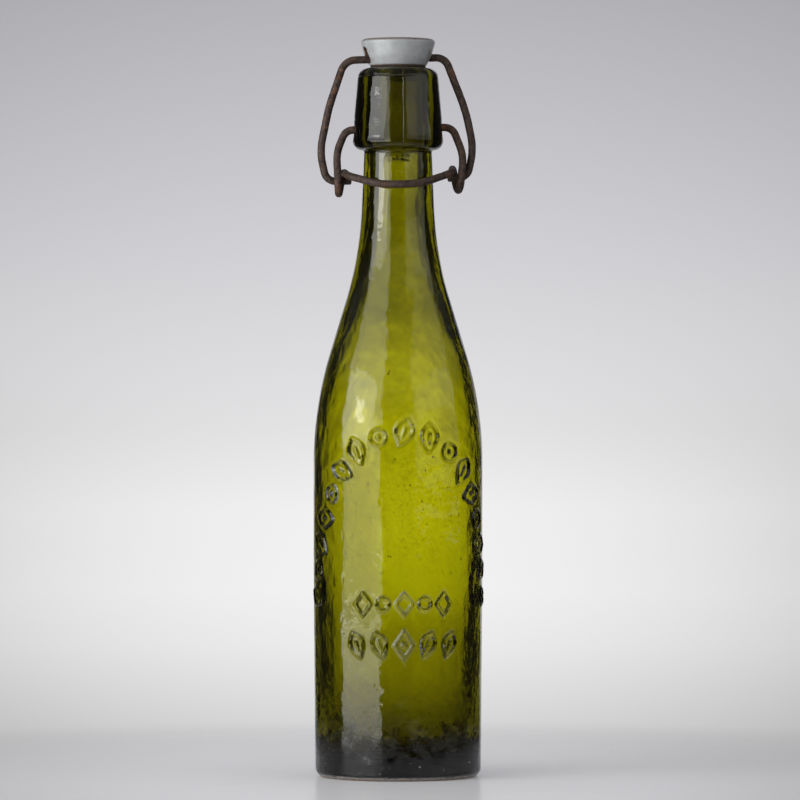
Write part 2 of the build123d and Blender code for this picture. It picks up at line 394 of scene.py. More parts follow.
def spaced(chain, step_at):
    """The chain's points re-spaced: step_at gives the largest step at a height."""
    lengths = np.linalg.norm(np.diff(chain, axis=0), axis=1)
    out = [chain[0]]
    for start, end, length in zip(chain, chain[1:], lengths):
        if length > step_at((start[1] + end[1]) / 2):
            # A long straight run crosses zones, so it is walked.
            along = 0.0
            while along < length:
                point = start + (end - start) * along / length
                along += step_at(point[1])
                if along < length * 0.999:
                    out.append(start + (end - start) * along / length)
        out.append(end)
    # Points much closer than the step, on tight arcs, are thinned out.
    kept = [out[0]]
    for point in out[1:-1]:
        if np.linalg.norm(point - kept[-1]) > min(0.45 * step_at(point[1]), 0.5):
            kept.append(point)
    kept.append(out[-1])
    return np.array(kept)


# ---------------------------------------------------------------- ornament
def stroke(distance):
    """Height of a raised moulded line, round across its width."""
    return smooth(STROKE / 2, 0.0, distance)


def leaf(p, q, length, half_width):
    """Outline and midrib of a pointed leaf along p."""
    t = np.clip(p / (length / 2), -1.0, 1.0)
    edge = half_width * np.cos(t * math.pi / 2) * (1.0 + 0.25 * t)
    slope = half_width * math.pi / length * np.sin(t * math.pi / 2)
    rim = np.abs(np.abs(q) - edge) / np.sqrt(1.0 + slope**2)
    beyond = np.maximum(np.abs(p) - length / 2, 0.0)
    rib = np.hypot(q, np.maximum(np.abs(p + 0.1 * length) - 0.28 * length, 0.0))
    return np.maximum(stroke(np.hypot(rim, beyond)), 0.8 * stroke(rib))


def ring(p, q, radius):
    """A raised circle."""
    return stroke(np.abs(np.hypot(p, q) - radius))


def dot(p, q, radius):
    """A raised disc with soft edges."""
    return stroke(np.maximum(np.hypot(p, q) - radius, 0.0))


def lozenge(p, q, half_p, half_q):
    """Outline of a lozenge."""
    shape = np.abs(p) / half_p + np.abs(q) / half_q
    return stroke(np.abs(shape - 1.0) / math.hypot(1.0 / half_p, 1.0 / half_q))


def place(relief, u, v, centre, turn, shape, *sizes):
    """Adds one motif, turned by an angle in degrees about its centre."""
    du, dv = u - centre[0], v - centre[1]
    near = (np.abs(du) < MOTIF_REACH) & (np.abs(dv) < MOTIF_REACH)
    c, s = math.cos(math.radians(turn)), math.sin(math.radians(turn))
    p = du[near] * c + dv[near] * s
    q = -du[near] * s + dv[near] * c
    relief[near] = np.maximum(relief[near], shape(p, q, *sizes))


def arch_points(count):
    """Evenly spaced (u, v, direction in degrees) along the arch, unrolled."""
    foot = math.asin((ARCH_FOOT - ARCH_MIDDLE) / ARCH_RISE)
    t = np.linspace(math.pi - foot, foot, 2000)
    u = ARCH_HALF_WIDTH * np.cos(t)
    v = ARCH_MIDDLE + ARCH_RISE * np.sin(t)
    along = np.concatenate([[0.0], np.cumsum(np.hypot(np.diff(u), np.diff(v)))])
    places = np.linspace(0.0, along[-1], count)
    for place_at in places:
        i = int(np.clip(np.searchsorted(along, place_at), 1, len(u) - 2))
        yield u[i], v[i], math.degrees(math.atan2(v[i + 1] - v[i - 1], u[i + 1] - u[i - 1]))


def ornament(u, v):
    """Relief of 0..1 over the unrolled wall: u along the girth from the front, v the height."""
    relief = np.zeros_like(u)
    for index, (cu, cv, way) in enumerate(arch_points(ARCH_MOTIFS)):
        if index % 3 == 1:
            place(relief, u, v, (cu, cv), way, ring, BEAD_RADIUS)
            place(relief, u, v, (cu, cv), way, dot, BEAD_DOT)
        else:
            lean = 90.0 + (ARCH_LEAN if index % 2 else -ARCH_LEAN)
            place(relief, u, v, (cu, cv), way + lean, leaf, *ARCH_LEAF)
    middle = ROW_MOTIFS // 2
    for index in range(ROW_MOTIFS):
        centre = ((index - middle) * UPPER_ROW_STEP, UPPER_ROW_HEIGHT)
        if index % 2:
            place(relief, u, v, centre, 0.0, ring, UPPER_RING)
        else:
            place(relief, u, v, centre, 0.0, lozenge, *UPPER_LOZENGE)
    for index in range(ROW_MOTIFS):
        centre = ((index - middle) * LOWER_ROW_STEP, LOWER_ROW_HEIGHT)
        if index == middle:
            place(relief, u, v, centre, 0.0, lozenge, *LOWER_LOZENGE)
            place(relief, u, v, centre, 0.0, dot, LOWER_DOT)
        else:
            lean = 90.0 + (LOWER_LEAN if index < middle else -LOWER_LEAN)
            place(relief, u, v, centre, lean, leaf, *LOWER_LEAF)
    return relief


# ---------------------------------------------------------------- glass mesh
def grid_points(rows, angle):
    """Points of the lathe grid: angle 0 is the front, at -Y, and grows towards +X."""
    return np.stack([rows[:, 0] * np.sin(angle), -rows[:, 0] * np.cos(angle), rows[:, 1]], 1)


def lathe(rows, fine):
    """Closed skin of a section, with extra columns at the front on the rows marked fine."""
    turn = np.arange(COLUMNS) * 2 * math.pi / COLUMNS
    front = np.abs(np.degrees(wrap(turn))) < FRONT_HALF_ANGLE
    coarse = np.arange(COLUMNS) % COARSE == 0
    index = -np.ones((len(rows), COLUMNS), int)
    row_of, angle_of = [], []
    for i, row in enumerate(rows):
        if row[0] < ON_AXIS:
            index[i, :] = len(row_of)
            row_of.append(i)
            angle_of.append(0.0)
            continue
        used = coarse | front if fine[i] else coarse
        index[i, used] = len(row_of) + np.arange(used.sum())
        row_of += [i] * int(used.sum())
        angle_of += turn[used].tolist()
    faces = []
    for i in range(len(rows) - 1):
        for c in range(0, COLUMNS, COARSE):
            span = [(c + k) % COLUMNS for k in range(COARSE + 1)]
            low = [index[i, k] for k in span if index[i, k] >= 0]
            high = [index[i + 1, k] for k in span if index[i + 1, k] >= 0]
            if len(low) == len(high) == COARSE + 1 and len(set(low)) > 1 and len(set(high)) > 1:
                faces += [(low[k], low[k + 1], high[k + 1], high[k]) for k in range(COARSE)]
            else:
                # A finer row meets a coarser one, or the axis: one face takes in the lot.
                faces.append(tuple(dict.fromkeys(low + high[::-1])))
    return np.array(row_of), np.array(angle_of), faces


def wrap(angle):
    """The same angle from -pi to pi, 0 at the front."""
    return np.where(angle > math.pi, angle - 2 * math.pi, angle)


def waviness(angle, height, depth, size_u, size_v, seed):
    """Slow unevenness of mouth-blown glass, without a seam at the back."""
    ring_radius = BODY_RADIUS / size_u
    points = np.stack(
        [ring_radius * np.sin(angle), ring_radius * np.cos(angle), height / size_v], 1
    )
    return depth * noise_field(points, 1.0, seed)


def faded(height, rising, falling):
    """1 between two soft ends, and 0 outside them."""
    return smooth(*rising, height) * (1.0 - smooth(*falling, height))


def outer_change(angle, height):
    """How far the outer skin stands out from the plain section."""
    wrapped = wrap(angle)
    from_front = np.abs(np.degrees(wrapped))
    body = faded(height, *OUTER_FADE)
    change = body * waviness(angle, height, *BODY_WAVES)
    change += body * waviness(angle, height, *BODY_RIPPLE)
    change += waviness(angle, height, *COLLAR_RIPPLE) * smooth(221.0, 224.0, height)
    in_zone = (height > RELIEF_ZONE[0]) & (height < RELIEF_ZONE[1]) & (from_front < FRONT_HALF_ANGLE)
    relief = np.zeros_like(height)
    relief[in_zone] = ornament(wrapped[in_zone] * BODY_RADIUS, height[in_zone])
    worn_down = 1.0 - SIDE_WEAR * smooth(40.0, 80.0, from_front)
    return change + RELIEF * worn_down * relief


def inner_change(angle, height):
    """How far the inner skin stands out from the plain section."""
    waves = waviness(angle, height, *INNER_WAVES) + waviness(angle, height, *INNER_RIPPLE)
    return faded(height, *INNER_FADE) * waves


def make_bottle():
    """The glass, as one closed skin with the relief in its outer side."""
    outer = spaced(outer_chain(), outer_step)
    inner = spaced(inner_chain(), inner_step)
    rows = np.concatenate([outer, inner])
    is_outer = np.arange(len(rows)) < len(outer)
    fine = is_outer & (rows[:, 1] > RELIEF_ZONE[0]) & (rows[:, 1] < RELIEF_ZONE[1])
    row_of, angle, faces = lathe(rows, fine)
    radius, height = rows[row_of].T
    along = np.gradient(rows, axis=0)
    along /= np.linalg.norm(along, axis=1)[:, None]
    out_radius, out_height = along[row_of, 1], -along[row_of, 0]
    outside = is_outer[row_of]
    inside = ~outside
    change = np.zeros(len(row_of))
    change[outside] = outer_change(angle[outside], height[outside])
    change[inside] = inner_change(angle[inside], height[inside])
    moved_radius = radius + change * np.where(radius > ON_AXIS, out_radius, 0.0)
    moved = np.stack([moved_radius, height + change * out_height], 1)
    bottle = mesh_object("bottle_glass", grid_points(moved, angle), faces)
    fix_normals(bottle)
    cut_sockets(bottle)
    return bottle


def outer_step(height):
    """Largest step along the outer section at a height."""
    if RELIEF_ZONE[0] < height < RELIEF_ZONE[1]:
        return RELIEF_STEP
    if height > COLLAR_BOTTOM - 3.0:
        return COLLAR_STEP
    return PLAIN_STEP


def inner_step(height):
    """Largest step along the inner section at a height."""
    return INNER_FINE_STEP if height > COLLAR_BOTTOM or height < 20.0 else INNER_STEP


def fix_normals(obj):
    """Turns every face outward."""
    mesh = bmesh.new()
    mesh.from_mesh(obj.data)
    bmesh.ops.recalc_face_normals(mesh, faces=mesh.faces)
    mesh.to_mesh(obj.data)
    mesh.free()


def ball(radius, centre):
    """A ball about a centre."""
    mesh = bmesh.new()
    bmesh.ops.create_icosphere(mesh, subdivisions=5, radius=radius)
    bmesh.ops.translate(mesh, verts=mesh.verts, vec=centre)
    return mesh


def rod(radius, start, end):
    """A round rod between two points."""
    mesh = bmesh.new()
    start, end = Vector(start), Vector(end)
    turn = Vector((0, 0, 1)).rotation_difference(end - start).to_matrix().to_4x4()
    bmesh.ops.create_cone(
        mesh,
        cap_ends=True,
        segments=32,
        radius1=radius,
        radius2=radius,
        depth=(end - start).length,
        matrix=Matrix.Translation((start + end) / 2) @ turn,
    )
    return mesh


def cut_sockets(bottle):
    """Takes the two dishes and the two blind pivot holes out of the collar."""
    share = (DISH_HEIGHT - COLLAR_BOTTOM) / (GLASS_HEIGHT - COLLAR_BOTTOM)
    surface = COLLAR_FOOT_RADIUS + share * (LIP_RADIUS - COLLAR_FOOT_RADIUS)
    radius = (DISH_RADIUS**2 + DISH_DEPTH**2) / (2 * DISH_DEPTH)
    rise = math.tan(math.radians(TILT))
    cutters = []
    for side in (-1, 1):
        middle = (side * (surface - DISH_DEPTH + radius) * MM, 0.0, DISH_HEIGHT * MM)
        near, far = side * PIVOT_HOLE_END, side * (surface + 4.0)
        ends = [(x * MM, 0.0, (PIVOT_HEIGHT + x * rise) * MM) for x in (near, far)]
        cutters += [ball(radius * MM, middle), rod(PIVOT_HOLE_RADIUS * MM, *ends)]
    for number, shape in enumerate(cutters):
        mesh = bpy.data.meshes.new("cutter")
        shape.to_mesh(mesh)
        shape.free()
        tool = bpy.data.objects.new(f"cutter_{number}", mesh)
        bpy.context.scene.collection.objects.link(tool)
        cut = bottle.modifiers.new("cut", "BOOLEAN")
        cut.operation = "DIFFERENCE"
        cut.solver = "MANIFOLD"
        cut.object = tool
        apply_modifiers(bottle)
        bpy.data.objects.remove(tool)
        bpy.data.meshes.remove(mesh)


# ---------------------------------------------------------------- worn metal, porcelain, rubber
def copied(node, name, voxel):
    """A new mesh of a CAD node's shape with an even skin, so that it can be worn."""
    obj = bpy.data.objects.new(name, frame["nodes"][node].data.copy())
    obj.data.materials.clear()
    bpy.context.scene.collection.objects.link(obj)
    weld = obj.modifiers.new("weld", "WELD")
    weld.merge_threshold = 0.00001
    apply_modifiers(obj)
    remesh = obj.modifiers.new("skin", "REMESH")
    remesh.mode = "VOXEL"
    remesh.voxel_size = voxel * MM
    apply_modifiers(obj)
    return obj


def relax(obj, times):
    """Evens out the steps that voxels leave."""
    soften = obj.modifiers.new("relax", "SMOOTH")
    soften.factor = 0.5
    soften.iterations = times
    apply_modifiers(obj)


def make_wire(node, name, seed):
    """Bent iron wire, pitted by rust."""
    obj = copied(node, name, WIRE_VOXEL)
    relax(obj, 1)
    points = vertices_of(obj)
    pits = noise_field(points, 1.3, seed, 2)
    swell = noise_field(points, 5.0, seed + 1)
    depth = 0.03 + 0.045 * swell + 0.05 * pits - 0.07 * smooth(0.25, 0.6, pits)
    set_vertices(obj, points + normals_of(obj) * depth[:, None])
    add_value(obj, "rust", 0.5 + 0.5 * swell + 0.35 * pits)
    shade_smooth(obj, 180.0)
    return obj


def make_stopper():
    """Glazed porcelain head with a chipped, stained rim."""
    obj = copied("stopper", "porcelain_stopper", STOPPER_VOXEL)
    relax(obj, 2)
    points = vertices_of(obj)
    top = STOPPER_BOX[1].z / MM
    radius = np.hypot(points[:, 0], points[:, 1])
    rim = smooth(11.4, 12.4, radius) * smooth(top - 1.5, top - 0.7, points[:, 2])
    chips = rim * smooth(0.30, 0.6, noise_field(points, 2.2, 21, 2))
    # The slots at the bore's ends lie deeper than the head's side.
    side_heights = top - np.array([9.8, 6.2, 1.3, 0.3])
    side = np.interp(points[:, 2], side_heights, (10.1, 11.9, 13.3, 12.4))
    at_ends = smooth(8.8, 9.6, np.abs(points[:, 0]))
    below_rim = smooth(top - 0.9, top - 1.6, points[:, 2])
    add_value(obj, "recess", smooth(0.15, 0.6, side - radius) * at_ends * below_rim)
    shape = 0.06 * noise_field(points, 9.0, 22) - 0.15 * chips
    set_vertices(obj, points + normals_of(obj) * shape[:, None])
    add_value(obj, "chip", chips)
    add_value(obj, "rim", rim)
    shade_smooth(obj, 60.0)
    return obj


def make_washer():
    """Old rubber ring, slightly uneven round its edge."""
    obj = copied("rubber_washer", "old_rubber_washer", WASHER_VOXEL)
    points = vertices_of(obj)
    push = 0.05 * noise_field(points, 2.2, 31, 2) - 0.05
    normals = normals_of(obj)
    # Pushed mostly sideways, so that its flat faces stay flat.
    normals[:, 2] *= 0.3
    set_vertices(obj, points + normals * push[:, None])
    shade_smooth(obj, 60.0)
    return obj


# ---------------------------------------------------------------- materials
class Tree:
    """A node tree, with short calls for the nodes that are used often."""

    def __init__(self, tree):
        self.tree = tree

    def add(self, kind):
        return self.tree.nodes.new(kind)

    def link(self, source, target):
        self.tree.links.new(source, target)

    def put(self, value, socket):
        """A number, a colour or another node's output goes to a socket."""
        if isinstance(value, bpy.types.NodeSocket):
            self.link(value, socket)
        elif isinstance(value, tuple):
            socket.default_value = (*value, 1.0)
        else:
            socket.default_value = value

    def between(self, value, low, high, out_low=0.0, out_high=1.0):
        """Goes smoothly from out_low to out_high as the value goes from low to high."""
        node = self.add("ShaderNodeMapRange")
        node.interpolation_type = "SMOOTHSTEP"
        sockets = ("From Min", "From Max", "To Min", "To Max")
        for socket, number in zip(sockets, (low, high, out_low, out_high)):
            node.inputs[socket].default_value = number
        self.put(value, node.inputs["Value"])
        return node.outputs["Result"]

    def math(self, operation, first, second=0.0):
        node = self.add("ShaderNodeMath")
        node.operation = operation
        self.put(first, node.inputs[0])
        self.put(second, node.inputs[1])
        return node.outputs[0]

    def times(self, first, *others):
        """The product of all the values."""
        for other in others:
            first = self.math("MULTIPLY", first, other)
        return first

    def largest(self, first, *others):
        for other in others:
            first = self.math("MAXIMUM", first, other)
        return first

    def opposite(self, value):
        """1 minus the value."""
        return self.math("SUBTRACT", 1.0, value)

    def gap(self, value, place):
        """How far a value is from a place, on either side."""
        return self.math("ABSOLUTE", self.math("SUBTRACT", value, place))

    def within(self, value, start, full, last_full, end):
        """0 below start, 1 from full to last_full and 0 again above end."""
        return self.times(self.between(value, start, full), self.between(value, end, last_full))

    def distance(self, first, second):
        """Length of the diagonal over two sides."""
        squares = [self.times(side, side) for side in (first, second)]
        return self.math("SQRT", self.math("ADD", *squares))

    def mix(self, share, first, second):
        """A colour between two."""
        node = self.add("ShaderNodeMix")
        node.data_type = "RGBA"
        self.put(share, node.inputs["Factor"])
        self.put(first, node.inputs["A"])
        self.put(second, node.inputs["B"])
        return node.outputs["Result"]

    def dim(self, colour, share):
        """A colour times a number."""
        node = self.add("ShaderNodeVectorMath")
        node.operation = "SCALE"
        self.put(colour, node.inputs[0])
        self.put(share, node.inputs["Scale"])
        return node.outputs[0]


class Nodes(Tree):
    """A material's node tree. Its textures are placed in the piece's own millimetres."""

    def __init__(self, name):
        self.material = bpy.data.materials.new(name)
        self.material.use_nodes = True
        super().__init__(self.material.node_tree)
        self.shader = self.tree.nodes["Principled BSDF"]
        self.output = self.tree.nodes["Material Output"]
        self.coords = self.add("ShaderNodeTexCoord").outputs["Object"]

    def place(self, stretch=(1.0, 1.0, 1.0)):
        """The piece's own coordinates, in millimetres."""
        mapping = self.add("ShaderNodeMapping")
        mapping.inputs["Scale"].default_value = tuple(s / MM for s in stretch)
        self.link(self.coords, mapping.inputs["Vector"])
        return mapping.outputs["Vector"]

    def noise(self, size, detail=3.0, rough=0.55, stretch=(1.0, 1.0, 1.0), distort=0.0):
        """Noise of about 0..1, with features of that size in millimetres."""
        node = self.add("ShaderNodeTexNoise")
        self.link(self.place(stretch), node.inputs["Vector"])
        node.inputs["Scale"].default_value = 1.0 / size
        node.inputs["Detail"].default_value = detail
        node.inputs["Roughness"].default_value = rough
        node.inputs["Distortion"].default_value = distort
        return node.outputs["Fac"]

    def spots(self, size, stretch=(1.0, 1.0, 1.0)):
        """Distance to scattered points, in cells of that size."""
        node = self.add("ShaderNodeTexVoronoi")
        self.link(self.place(stretch), node.inputs["Vector"])
        node.inputs["Scale"].default_value = 1.0 / size
        return node.outputs["Distance"]

    def attribute(self, name):
        """A number stored on the mesh by add_value."""
        node = self.add("ShaderNodeAttribute")
        node.attribute_name = name
        return node.outputs["Fac"]

    def axis(self, name):
        """One of the piece's own coordinates, in millimetres."""
        split = self.add("ShaderNodeSeparateXYZ")
        self.link(self.place(), split.inputs[0])
        return split.outputs[name]

    def bump(self, height, distance, normal=None):
        """Height of 0..1 stands distance millimetres tall, on top of another bump's normal."""
        node = self.add("ShaderNodeBump")
        node.inputs["Strength"].default_value = 1.0
        node.inputs["Distance"].default_value = distance * MM
        self.put(height, node.inputs["Height"])
        if normal is not None:
            self.link(normal, node.inputs["Normal"])
        return node.outputs["Normal"]

    def set(self, name, value):
        """Sets or links one of the shader's own sockets."""
        self.put(value, self.shader.inputs[name])


def glass_film_and_shade(n, height):
    """How much light the inside lets through at a height: dried film and dirt on the body, darker
    bands in the neck and the throat, and painted shade below the collar and round the plug.
    """
    wobble = n.math("SUBTRACT", n.noise(6.0, 4.0, 0.6, (1.0, 1.0, 0.7)), 0.5)
    uneven = n.math("ADD", height, n.times(wobble, 18.0))
    # Film over the floor and the lees, and a darker band in the neck, with uneven edges.
    uneven_bands = [n.between(uneven, *band) for band in (FILM_LEES, FILM_FLOOR, NECK_DARK_BAND)]
    # A darker band in the throat, and painted shade inside the neck below the collar and on the
    # bore's wall round the plug.
    level_bands = [n.between(height, *band) for band in (THROAT_DARK_BAND, COLLAR_SHADE_BAND, PLUG_SHADE_BAND)]
    # Long runs down the sides of the lower body.
    runs = n.between(n.noise(2.2, 3.0, 0.6, (1.0, 1.0, 0.10)), 0.50, 0.62)
    at_sides = n.between(n.gap(n.axis("X"), 0.0), 12.0, 22.0)
    drips = n.times(runs, n.between(height, 66.0, 40.0), at_sides, 0.6)
    # Fine dirt in patches on the body.
    grains = n.between(n.noise(0.9, 5.0, 0.75), 0.50, 0.66)
    patches = n.between(n.noise(11.0, 2.0), 0.36, 0.54)
    dirt = n.times(grains, patches, n.within(height, 62.0, 82.0, 110.0, 124.0), 0.55)
    # An old tide mark on the left of the body.
    on_left = n.between(n.math("ADD", n.axis("X"), n.times(wobble, 14.0)), -3.0, -10.0)
    up_to = n.between(uneven, 122.0, 104.0)
    tide_mark = n.times(on_left, n.between(height, 50.0, 60.0), up_to, 0.30)
    left_clear = [n.opposite(cover) for cover in (drips, dirt, tide_mark)]
    return n.times(*left_clear, *uneven_bands, *level_bands)


def glass_dregs(n, height):
    """Where dried dregs stick to the inside: a dark band in the bottom, blots above it and
    flecks higher up."""
    # The band reaches higher at the sides, and its upper edge is ragged.
    at_sides = n.between(n.gap(n.axis("X"), 0.0), 8.0, 26.0, 0.0, 5.5)
    edge = n.times(n.noise(4.5, 5.0, 0.68), 46.0)
    band = n.between(n.math("SUBTRACT", n.math("ADD", height, edge), at_sides), 35.0, 31.5)
    ragged = n.noise(2.4, 5.0, 0.7)
    more_below = n.between(height, 26.0, 9.0, 0.0, 0.13)
    blots = n.between(n.math("ADD", ragged, more_below), 0.66, 0.71)
    blots = n.times(blots, n.between(height, 30.0, 22.0))
    grains = n.math("ADD", n.spots(3.0, (1.0, 1.0, 0.8)), n.times(ragged, 0.25))
    patches = n.between(n.noise(14.0, 2.0), 0.40, 0.58)
    zone = n.within(height, 60.0, 80.0, 135.0, 165.0)
    flecks = n.times(n.between(grains, 0.24, 0.17), patches, zone, 0.75)
    return n.largest(band, blots, flecks)


def glass_specks(n, height):
    """Where specks of dirt stick to the inside of the body, most of them on the left."""
    grains = n.math("ADD", n.spots(2.2), n.times(n.noise(1.0, 4.0, 0.7), 0.35))
    patches = n.between(n.noise(8.0, 2.0), 0.36, 0.52)
    on_left = n.between(n.axis("X"), 4.0, -8.0, 0.3, 1.0)
    zone = n.within(height, 68.0, 80.0, 106.0, 122.0)
    return n.times(n.between(grains, 0.34, 0.26), patches, on_left, zone)


def glass_chatter(n, height):
    """Fine zigzag lines where the collar was tooled onto the front of the neck."""
    front = n.between(n.axis("Y"), *FRONT_SIDE)
    aside = n.between(n.gap(n.axis("X"), CHATTER_X), 4.6, 3.0)
    above = n.between(n.gap(height, CHATTER_HEIGHT), 1.9, 1.1)
    wander = n.noise(2.6, 1.0, 0.4, (0.6, 0.6, 1.9), 1.2)
    lines = n.between(n.gap(wander, 0.5), 0.075, 0.035)
    return n.times(front, aside, above, lines)


def glass_bump(n, height):
    """Waves, seeds and moulding marks, as one surface normal."""
    waves = n.bump(n.noise(9.0, 2.0, 0.5, (1.0, 1.0, 0.55)), 0.30)
    ripple = n.bump(n.noise(4.4, 2.0, 0.5, (1.0, 1.0, 0.65)), 0.17, waves)
    grain = n.bump(n.noise(1.9, 3.0, 0.6, (1.0, 1.0, 0.6)), 0.030, ripple)
    seeds = n.between(n.spots(5.5, (1.0, 1.0, 0.6)), 0.10, 0.02)
    skin = n.bump(seeds, 0.06, grain)
    # Tool rings round the collar and, fainter, round the upper neck.
    on_collar = n.between(height, COLLAR_BOTTOM, COLLAR_BOTTOM + 1.0)
    on_neck = n.within(height, 168.0, 186.0, 196.0, 206.0)
    turned = n.math("ADD", on_collar, n.times(on_neck, 0.6))
    rings = n.times(n.noise(1.1, 2.0, 0.5, (0.06, 0.06, 1.0)), turned)
    skin = n.bump(rings, 0.055, skin)
    # The seam down the collar's front, and the mould line below the lip, on the left.
    front = n.between(n.axis("Y"), *FRONT_SIDE)
    seam = n.times(n.between(n.gap(n.axis("X"), SEAM_X), 0.28, 0.0), front, on_collar)
    line = n.between(n.gap(height, MOULD_LINE_HEIGHT), 0.22, 0.0)
    line = n.times(line, n.between(n.axis("X"), 5.0, 1.0))
    skin = n.bump(n.largest(seam, line), 0.22, skin)
    return n.bump(glass_chatter(n, height), 0.35, skin)


def glass_scale(n, height):
    """Where white scale sticks to the inside, low on the left."""
    on_left = n.between(n.axis("X"), -6.0, -10.0)
    ragged = n.between(n.noise(2.0, 5.0, 0.75), 0.56, 0.64)
    return n.times(n.within(height, 13.0, 16.0, 22.0, 31.0), on_left, ragged)


def glass_chips(n, height):
    """Where the outside is chipped, round the heel."""
    ragged = n.times(n.noise(0.7, 3.0, 0.7), 0.30)
    chips = n.between(n.math("ADD", n.spots(3.9), ragged), 0.24, 0.18)
    return n.times(chips, n.between(height, 11.0, 3.0))


def glass_material():
    """Thick olive glass with scuffs and seeds and a painted highlight along its sole, and dried film,
    dregs and scale on its inside, with painted shade below the collar and round the plug.
    """
    n = Nodes("olive_glass")
    height = n.axis("Z")
    inside = n.attribute("inside")
    outside = n.opposite(inside)
    dregs = glass_dregs(n, height)
    scale = n.times(glass_scale(n, height), inside)
    chips = n.times(glass_chips(n, height), outside)
    # The edge that the bottle stands on is worn rough, and its light brown colour is a painted
    # highlight along the heel.
    worn_sole_and_highlight = n.between(n.noise(1.6, 4.0, 0.7), 0.30, 0.55)
    worn_sole_and_highlight = n.times(worn_sole_and_highlight, n.between(height, 1.6, 0.5), outside)
    # Film and dirt on the inside, with painted shade below the collar and round the plug; dregs and
    # specks go over them.
    stained = n.mix(glass_film_and_shade(n, height), FILM_AND_SHADE_COLOUR, CLEAR)
    stained = n.mix(n.between(dregs, 0.0, 0.45), stained, DREGS_COLOUR)
    stained = n.mix(glass_specks(n, height), stained, SPECK_COLOUR)
    colour = n.mix(inside, CLEAR, stained)
    colour = n.mix(n.times(glass_chatter(n, height), outside), colour, TOOLED_COLOUR)
    colour = n.mix(scale, colour, SCALE_COLOUR)
    colour = n.mix(chips, colour, CHIP_COLOUR)
    n.set("Base Color", n.mix(worn_sole_and_highlight, colour, SOLE_HIGHLIGHT_COLOUR))
    crust = n.times(n.between(dregs, 0.40, 1.0, 0.0, 0.92), inside)
    solid = n.largest(crust, scale)
    worn = n.largest(chips, worn_sole_and_highlight)
    n.set("Transmission Weight", n.opposite(n.largest(solid, n.times(worn, 0.8))))
    haze = n.between(n.noise(14.0, 4.0, 0.6), 0.35, 0.7, 0.012, 0.04)
    scuffs = n.between(n.noise(1.1, 5.0, 0.7), 0.60, 0.78, 0.0, 0.14)
    dull = n.times(n.largest(solid, worn), 0.6)
    n.set("Roughness", n.largest(n.math("ADD", haze, scuffs), dull))
    n.set("IOR", GLASS_IOR)
    n.set("Normal", glass_bump(n, height))
    absorb = n.add("ShaderNodeVolumeAbsorption")
    n.put(GLASS_COLOUR, absorb.inputs["Color"])
    n.put(GLASS_DENSITY, absorb.inputs["Density"])
    n.link(absorb.outputs["Volume"], n.output.inputs["Volume"])
    return n.material


def wire_material(seed):
    """Brown rusted iron, mottled dark and brown, warmer where the surface swells and pits, with
    orange patches.
    """
    n = Nodes(f"rusted_wire_{seed}")
    rust = n.attribute("rust")
    mottle = n.noise(1.6 + 0.1 * seed, 4.0, 0.65)
    fine = n.noise(0.35, 4.0, 0.7)
    brown = n.mix(n.between(mottle, 0.28, 0.74), RUST_DARK, RUST_BROWN)
    warm = n.mix(n.between(rust, 0.55, 1.05), brown, RUST_WARM)
    fresh = n.between(n.noise(6.5, 3.0, 0.6), 0.60, 0.74)
    fresh = n.times(fresh, n.between(fine, 0.35, 0.6))
    n.set("Base Color", n.mix(fresh, warm, RUST_ORANGE))
    n.set("Metallic", n.between(mottle, 0.3, 0.6, 0.45, 0.1))
    n.set("Roughness", n.between(fine, 0.3, 0.7, 0.42, 0.85))
    pits = n.bump(n.noise(0.9, 3.0, 0.6), 0.16)
    n.set("Normal", n.bump(fine, 0.07, pits))
    return n.material


def porcelain_material():
    """Old white glaze, clouded grey, stained brown at the rim, the bore and the slots."""
    n = Nodes("old_porcelain")
    bore = JOINTS["stopper_tilt"]["pos_m"][2] / MM
    cloud = n.noise(5.0, 4.0, 0.6)
    streak = n.noise(2.4, 4.0, 0.7, (1.0, 1.0, 0.4))
    at_bore = n.between(n.gap(n.axis("Z"), bore), 4.5, 1.0)
    at_ends = n.between(n.gap(n.axis("X"), 0.0), 8.0, 11.5)
    stain = n.times(at_bore, at_ends, n.between(streak, 0.42, 0.62))
    caked = n.times(n.attribute("recess"), n.between(streak, 0.25, 0.5, 0.55, 1.0))
    rubbed = n.between(n.noise(2.5, 4.0, 0.7), 0.25, 0.5, 0.45, 1.0)
    chip = n.attribute("chip")
    glaze = n.mix(n.between(cloud, 0.3, 0.7), GLAZE_GREY, GLAZE_PALE)
    glaze = n.mix(n.times(stain, 0.8), glaze, STAIN_COLOUR)
    glaze = n.mix(caked, glaze, CAKED_COLOUR)
    glaze = n.mix(n.times(n.attribute("rim"), rubbed, 0.85), glaze, RIM_COLOUR)
    n.set("Base Color", n.mix(n.between(chip, 0.25, 0.8), glaze, BARE_COLOUR))
    worn = n.largest(chip, n.times(stain, 0.7))
    shine = n.between(cloud, 0.3, 0.7, 0.20, 0.33)
    n.set("Roughness", n.math("ADD", shine, n.times(worn, 0.45)))
    n.set("Coat Weight", 0.25)
    n.set("Coat Roughness", 0.18)
    waves = n.bump(n.noise(1.6, 3.0, 0.55), 0.03)
    n.set("Normal", n.bump(n.noise(0.3, 2.0), 0.008, waves))
    return n.material


def rubber_material():
    """Perished brown rubber."""
    n = Nodes("perished_rubber")
    patch = n.noise(1.8, 4.0, 0.65)
    n.set("Base Color", n.mix(n.between(patch, 0.3, 0.7), RUBBER_DARK, RUBBER_BROWN))
    n.set("Roughness", n.between(patch, 0.3, 0.7, 0.65, 0.9))
    cracks = n.between(n.spots(0.7), 0.0, 0.25)
    n.set("Normal", n.bump(cracks, 0.06))
    return n.material


